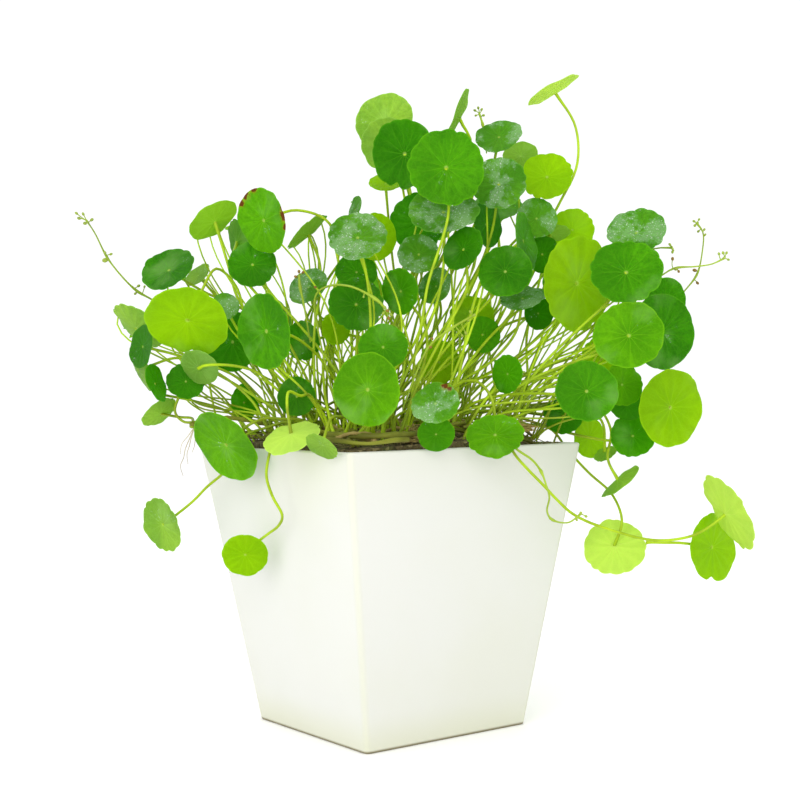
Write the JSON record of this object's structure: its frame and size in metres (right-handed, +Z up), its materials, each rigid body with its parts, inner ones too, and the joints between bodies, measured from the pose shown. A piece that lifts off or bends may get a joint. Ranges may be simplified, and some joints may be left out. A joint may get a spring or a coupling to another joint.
{
  "type": "potted water pennywort",
  "caption": "Water pennywort with round shield leaves on long stalks and thin flower stalks, spilling from a tapered square white pot filled with soil.",
  "frame": {"origin": "centre of the flat underside of the pot, on the surface it stands on", "axes": "+Z up; the pot's sides are parallel to X and Y; the picture looks along the pot's diagonal, at azimuth -36 degrees"},
  "size_m": [0.3415, 0.3032, 0.3827],
  "materials": {
    "pot": "matt off-white",
    "soil": "moist dark potting soil with root fibres",
    "leaf": "satin living leaf with pale radiating veins",
    "runner": "smooth olive creeping stem",
    "flower": "fine yellow-green flower stalk"
  },
  "bodies": {
    "root": {"flower_stalk_front": "flower", "flower_stalk_left": "flower", "flower_stalk_right_flat": "flower", "flower_stalk_right_small": "flower", "flower_stalk_right_tall": "flower", "leaf_pair_back_hanging": "leaf", "leaf_pair_back_left": "leaf", "leaf_pair_back_low": "leaf", "leaf_pair_back_middle": "leaf", "leaf_pair_back_right": "leaf", "leaf_pair_back_top": "leaf", "leaf_pair_front_large": "leaf", "leaf_pair_front_left_hanging": "leaf", "leaf_pair_front_left_rim": "leaf", "leaf_pair_front_rim": "leaf", "leaf_pair_front_spotted": "leaf", "leaf_pair_highest": "leaf", "leaf_pair_left_bright": "leaf", "leaf_pair_left_corner": "leaf", "leaf_pair_left_edge": "leaf", "leaf_pair_left_front": "leaf", "leaf_pair_left_knot": "leaf", "leaf_pair_left_large": "leaf", "leaf_pair_left_outer": "leaf", "leaf_pair_left_raised": "leaf", "leaf_pair_left_shoulder": "leaf", "leaf_pair_left_under": "leaf", "leaf_pair_middle_dark": "leaf", "leaf_pair_middle_dusty": "leaf", "leaf_pair_middle_glossy": "leaf", "leaf_pair_middle_grey": "leaf", "leaf_pair_middle_left": "leaf", "leaf_pair_middle_low": "leaf", "leaf_pair_middle_pale": "leaf", "leaf_pair_middle_right": "leaf", "leaf_pair_right_behind": "leaf", "leaf_pair_right_corner": "leaf", "leaf_pair_right_dark": "leaf", "leaf_pair_right_front": "leaf", "leaf_pair_right_inner": "leaf", "leaf_pair_right_largest": "leaf", "leaf_pair_right_lime": "leaf", "leaf_pair_right_low": "leaf", "leaf_pair_right_round": "leaf", "leaf_pair_right_shoulder": "leaf", "leaf_pair_right_small": "leaf", "leaf_pair_right_upright": "leaf", "leaf_pair_right_wet": "leaf", "leaf_pair_thicket": "leaf", "leaf_pair_top_front": "leaf", "leaf_pair_top_left": "leaf", "leaf_pair_top_middle": "leaf", "leaf_pair_upper_outer": "leaf", "leaf_pair_upper_right": "leaf", "leaf_right_hanging": "leaf", "leaf_right_low_hanging": "leaf", "pot": "pot", "runner_front": "runner", "runner_left": "runner", "soil": "soil"}
  },
  "joints": []
}
